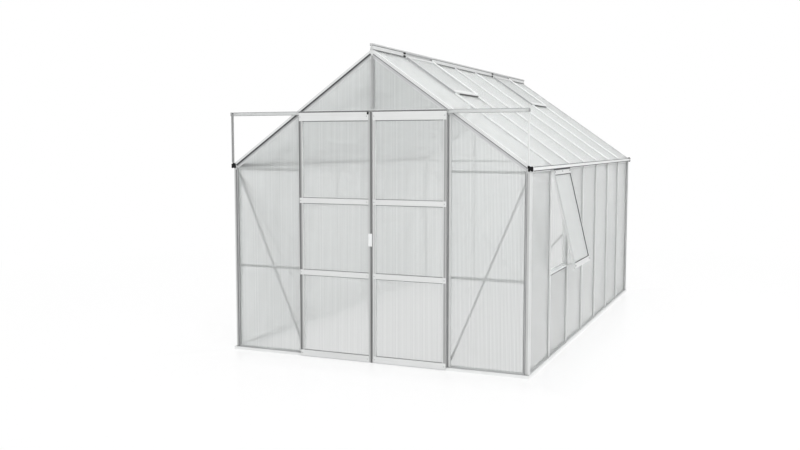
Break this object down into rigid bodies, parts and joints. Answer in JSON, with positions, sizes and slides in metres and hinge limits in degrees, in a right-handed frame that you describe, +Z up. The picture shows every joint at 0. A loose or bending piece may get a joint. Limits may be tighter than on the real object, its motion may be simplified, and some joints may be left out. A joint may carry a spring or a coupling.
{
  "type": "glass greenhouse",
  "caption": "Walk-in garden greenhouse with a saddle roof, aluminium frame, translucent sheets, sliding double doors, roof vents, gutters and a propped side window.",
  "frame": {"origin": "on the underside of the front sill, in the middle of the doorway, in the inner plane of the front sheets", "axes": "+X to the right seen from the front, +Y back into the house, +Z up"},
  "size_m": [2.8026, 4.484, 2.541],
  "materials": {
    "frame": "satin mill finish",
    "sheet": "translucent twin-wall sheet",
    "black_plastic": "moulded",
    "door_stiles": "satin mill finish",
    "door_rails": "bright satin",
    "rollers": "moulded",
    "handle": "moulded"
  },
  "bodies": {
    "house": {"front_sill": "frame", "rear_sill": "frame", "left_sill": "frame", "right_sill": "frame", "corner_posts": "frame", "door_posts": "frame", "rear_gable_posts": "frame", "front_gable_mullion": "frame", "wall_bars": "frame", "left_gutter": "frame", "right_gutter": "frame", "gable_rafters": "frame", "roof_bars": "frame", "ridge_beam": "frame", "ridge_covers": "frame", "door_header": "frame", "door_track": "frame", "door_track_stays": "frame", "gable_girts": "frame", "diagonal_braces": "frame", "roof_vent_stiles": "frame", "roof_vent_rails": "frame", "roof_vent_sills": "frame", "side_window_sill": "frame", "side_window_stiles": "frame", "side_window_rails": "frame", "side_window_stay": "frame", "front_panes": "sheet", "rear_panes": "sheet", "left_wall_panes": "sheet", "right_wall_panes": "sheet", "left_roof_panes": "sheet", "right_roof_panes": "sheet", "roof_vent_panes": "sheet", "side_window_pane": "sheet", "gutter_end_caps": "black_plastic"},
    "left_door": {"left_door_stiles": "door_stiles", "left_door_rails": "door_rails", "left_door_panes": "sheet", "left_door_rollers": "rollers", "left_door_handle": "handle"},
    "right_door": {"right_door_stiles": "door_stiles", "right_door_rails": "door_rails", "right_door_panes": "sheet", "right_door_rollers": "rollers"}
  },
  "joints": [
    {"name": "left_door_slide", "type": "slide", "parent": "house", "child": "left_door", "axis": [-1, 0, 0], "range_m": [0, 0.615]},
    {"name": "right_door_slide", "type": "slide", "parent": "house", "child": "right_door", "axis": [1, 0, 0], "range_m": [0, 0.615]}
  ]
}
